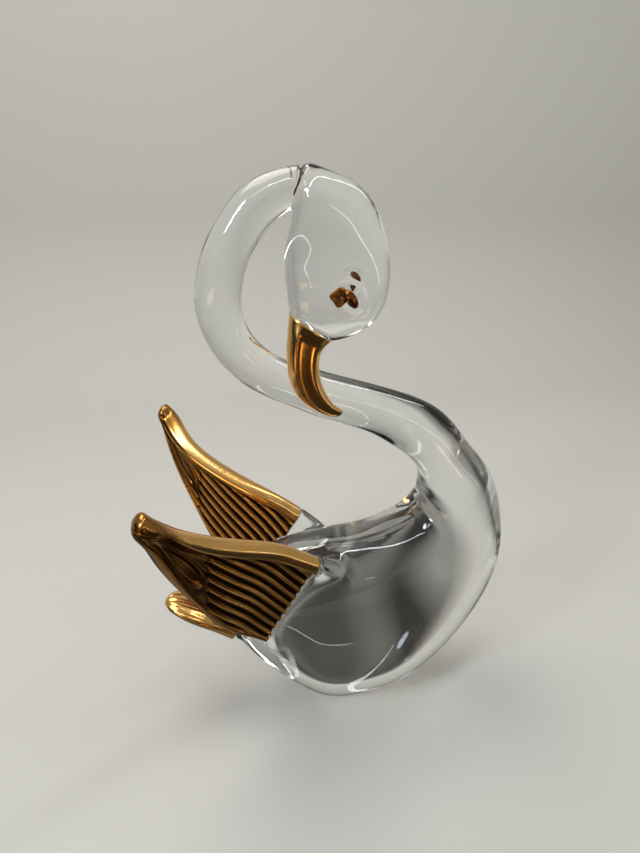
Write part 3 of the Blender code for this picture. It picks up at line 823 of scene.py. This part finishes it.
def gold_lustre():
    """Fired gold lustre over pressed glass: a mirror on the crests, with painted shade that turns it
    dark brown in the grooves, on the lower rim and round the tip.
    """
    made, tree, shader = new_material("fired_gold_lustre")
    shader.inputs["Metallic"].default_value = 1.0
    place = add(tree, "ShaderNodeTexCoord").outputs["Object"]
    painted_shade = add(tree, "ShaderNodeAttribute", attribute_name="painted_shade").outputs["Fac"]
    film = add(tree, "ShaderNodeTexNoise", {"Vector": place, "Scale": 0.16 / MM, "Detail": 3.0})
    shade_amount = add(tree, "ShaderNodeMath", {0: painted_shade, 1: 0.85}, operation="MULTIPLY").outputs[0]
    tone_and_shade = add(tree, "ShaderNodeMath", {0: film.outputs["Fac"], 1: 0.35, 2: shade_amount},
                operation="MULTIPLY_ADD").outputs[0]
    # Painted shade: bright gold where the stored shade is nil, dark brown where it is full; the film
    # noise gives the lustre's own uneven tone
    tint = add(tree, "ShaderNodeValToRGB", {"Fac": tone_and_shade})
    ramp = tint.color_ramp
    ramp.elements[0].position = 0.10
    ramp.elements[0].color = colour("#F6C67C")
    ramp.elements[1].position = 0.95
    ramp.elements[1].color = colour("#2C1607")
    middle = ramp.elements.new(0.38)
    middle.color = colour("#DDA052")
    tree.links.new(tint.outputs["Color"], shader.inputs["Base Color"])
    rough = add(tree, "ShaderNodeMapRange", {"Value": film.outputs["Fac"], "To Min": 0.13,
                                             "To Max": 0.26}).outputs[0]
    tree.links.new(rough, shader.inputs["Roughness"])
    grain = add(tree, "ShaderNodeTexNoise", {"Vector": place, "Scale": 0.9 / MM, "Detail": 2.0})
    bump = add(tree, "ShaderNodeBump", {"Strength": 0.10, "Distance": 0.08 * MM,
                                        "Height": grain.outputs["Fac"]})
    tree.links.new(bump.outputs["Normal"], shader.inputs["Normal"])
    return made


def dark_lustre_and_painted_image():
    """A thicker touch of the same lustre, fired to a dark gold brown; this brown also colours the
    painted reflection beside the right eye and the sliver in the fold.
    """
    made, tree, shader = new_material("fired_dark_lustre_and_painted_image")
    shader.inputs["Metallic"].default_value = 1.0
    shader.inputs["Roughness"].default_value = 0.14
    place = add(tree, "ShaderNodeTexCoord").outputs["Object"]
    film = add(tree, "ShaderNodeTexNoise", {"Vector": place, "Scale": 0.5 / MM, "Detail": 3.0})
    tint = add(tree, "ShaderNodeValToRGB", {"Fac": film.outputs["Fac"]})
    tint.color_ramp.elements[0].position = 0.35
    tint.color_ramp.elements[0].color = colour("#4A2410")
    tint.color_ramp.elements[1].position = 0.68
    tint.color_ramp.elements[1].color = colour("#A0642A")
    tree.links.new(tint.outputs["Color"], shader.inputs["Base Color"])
    return made


def matte_card(name, code):
    """Plain matt card for the floor and the backdrop."""
    made, tree, shader = new_material(name)
    shader.inputs["Base Color"].default_value = colour(code)
    shader.inputs["Roughness"].default_value = 0.85
    return made


def black_card():
    """Matt black card, worn thin towards its far edge, so what it darkens has a soft end."""
    made, tree, shader = new_material("worn_black_card")
    shader.inputs["Base Color"].default_value = colour("#15140F")
    shader.inputs["Roughness"].default_value = 0.9
    place = add(tree, "ShaderNodeTexCoord").outputs["Object"]
    worn = add(tree, "ShaderNodeTexNoise", {"Vector": place, "Scale": 0.022 / MM, "Detail": 1.0})
    cover = add(tree, "ShaderNodeMapRange", {"Value": worn.outputs["Fac"], "From Min": 0.42,
                                             "From Max": 0.58, "To Min": 0.55, "To Max": 1.0})
    depth = add(tree, "ShaderNodeSeparateXYZ", {0: place}).outputs["Y"]
    edge = add(tree, "ShaderNodeMapRange", {"Value": depth, "From Min": 60 * MM, "From Max": 78 * MM,
                                            "To Min": 1.0, "To Max": 0.0})
    fade = add(tree, "ShaderNodeMath", {0: cover.outputs[0], 1: edge.outputs[0]},
               operation="MULTIPLY").outputs[0]
    tree.links.new(fade, shader.inputs["Alpha"])
    return made


# The stage, the lights and the camera

def build_stage():
    """A pale sweep: a level floor that curves up into a backdrop behind the object."""
    bend_start, bend_radius, wall_top = 260.0, 120.0, 620.0
    profile = [(-600.0, 0.0), (bend_start, 0.0)]
    for angle in np.radians(np.linspace(6, 90, 15)):
        profile.append((bend_start + bend_radius * math.sin(angle),
                        bend_radius * (1 - math.cos(angle))))
    profile.append((bend_start + bend_radius, wall_top))
    half_width = 520.0
    shape = bmesh.new()
    rows = [[shape.verts.new(Vector((x, y, z)) * MM) for x in (-half_width, half_width)]
            for y, z in profile]
    for near, far in zip(rows, rows[1:]):
        shape.faces.new((near[0], near[1], far[1], far[0]))
    mesh = bpy.data.meshes.new("pale_sweep")
    shape.to_mesh(mesh)
    shape.free()
    sweep = bpy.data.objects.new("pale_sweep", mesh)
    bpy.context.scene.collection.objects.link(sweep)
    mesh.shade_smooth()
    mesh.materials.append(matte_card("pale_card", "#C9C7C0"))


def black_flag(name, corners, card, mirrored_only=True):
    """A black card that only shows as the dark lines it draws in the glass and the gilding."""
    shape = bmesh.new()
    shape.faces.new([shape.verts.new(Vector(corner) * MM) for corner in corners])
    mesh = bpy.data.meshes.new(name)
    shape.to_mesh(mesh)
    shape.free()
    mesh.materials.append(card)
    flag = bpy.data.objects.new(name, mesh)
    bpy.context.scene.collection.objects.link(flag)
    flag.visible_camera = False
    flag.visible_diffuse = False
    flag.visible_shadow = False
    flag.visible_transmission = not mirrored_only


def build_flags():
    """A worn card under and behind the swan, and cards that show only in reflections."""
    level = 0.6           # a hair over the stage
    reach, near, back = 220, -60, 78
    black_flag("floor_flag", ((-reach, near, level), (reach, near, level), (reach, back, level),
                              (-reach, back, level)), black_card(), mirrored_only=False)
    card = matte_card("black_card", "#15140F")
    left, right, front, foot, top = -300, 560, -340, 1, 170
    black_flag("near_flag", ((left, front, level), (right, front, level), (right, near, level),
                             (left, near, level)), card)
    black_flag("front_flag", ((left, front, foot), (right, front, foot), (right, front, top),
                              (left, front, top)), card)
    black_flag("side_flag", ((left, front, foot), (left, back, foot), (left, back, top),
                             (left, front, top)), card)


def area_light(name, at, aim, size, power, code, shape="RECTANGLE", roll=0.0,
               gilding_only=False):
    """A lamp that faces its aim, in millimetres, with its colour as a hex value."""
    lamp = bpy.data.lights.new(name, "AREA")
    lamp.shape = shape
    lamp.size = size[0] * MM
    lamp.size_y = size[1] * MM
    lamp.energy = power
    lamp.color = colour(code)[:3]
    item = bpy.data.objects.new(name, lamp)
    item.location = Vector(at) * MM
    facing = (Vector(aim) - Vector(at)).to_track_quat("-Z", "Y")
    item.rotation_euler = (facing @ Quaternion((0, 0, 1), math.radians(roll))).to_euler()
    item.visible_camera = False
    # A lamp for the gilding alone is not seen through the glass and lights no matt surface
    item.visible_transmission = not gilding_only
    item.visible_diffuse = not gilding_only
    bpy.context.scene.collection.objects.link(item)


def build_lights():
    """A soft pale studio, with thin strips that draw the long glints of worked glass."""
    world = bpy.data.worlds.new("studio")
    world.use_nodes = True
    background = world.node_tree.nodes["Background"]
    background.inputs["Color"].default_value = colour("#BDBCB5")
    background.inputs["Strength"].default_value = 0.68
    bpy.context.scene.world = world
    middle = (0, 0, 70)
    area_light("overhead_softbox", (-150, 160, 560), middle, (420, 300), 1.5, "#FFFCF6")
    area_light("long_strip", (60, -80, 420), middle, (900, 14), 0.8, "#F4F8FF")
    area_light("side_strip", (210, -275, 155), middle, (430, 8), 0.075, "#F4F8FF", roll=-24)
    area_light("cool_window", (-330, -240, 330), middle, (70, 120), 0.6, "#E4EEFF", "ELLIPSE")
    area_light("warm_lamp", (150, -330, 60), middle, (34, 48), 0.03, "#FFC070", "ELLIPSE",
               gilding_only=True)
    area_light("low_warm_lamp", (-250, -235, 45), middle, (170, 60), 0.10, "#FFDDA8",
               gilding_only=True)


def build_camera():
    """The photograph's viewing angle, from how the neck, body and wings line up in it."""
    pitch = math.radians(21.3)
    turn = math.radians(11.0)
    focal_pixels = 641.0
    long_side = 853.0
    lens = bpy.data.cameras.new("camera")
    lens.sensor_width = 36.0
    lens.lens = focal_pixels / long_side * lens.sensor_width
    lens.clip_start = 0.01
    item = bpy.data.objects.new("camera", lens)
    item.location = Vector((-36.4, -154.5, 147.3)) * MM
    look = Vector((math.cos(pitch) * math.sin(turn), math.cos(pitch) * math.cos(turn), -math.sin(pitch)))
    item.rotation_euler = look.to_track_quat("-Z", "Y").to_euler()
    bpy.context.scene.collection.objects.link(item)
    bpy.context.scene.camera = item


def main():
    """Builds the pieces of the swan, then what stands round it."""
    gold = gold_lustre()
    brown = dark_lustre_and_painted_image()
    tree = rib_tree(gold)
    roots = [build_wing(name, sign, tree, gold)
             for name, sign in (("left_wing", 1), ("right_wing", -1))]
    roots.append(build_tail(gold))
    build_glass(roots, clear_glass())
    build_beak(gold)
    for name, sign, x, z, size in EYES:
        build_eye(name, sign, x, z, size, brown)
    build_painted_eye_image(brown)
    build_fold_sliver(brown)
    build_stage()
    build_flags()
    build_lights()
    build_camera()
    bpy.context.scene.view_settings.view_transform = "Standard"


main()
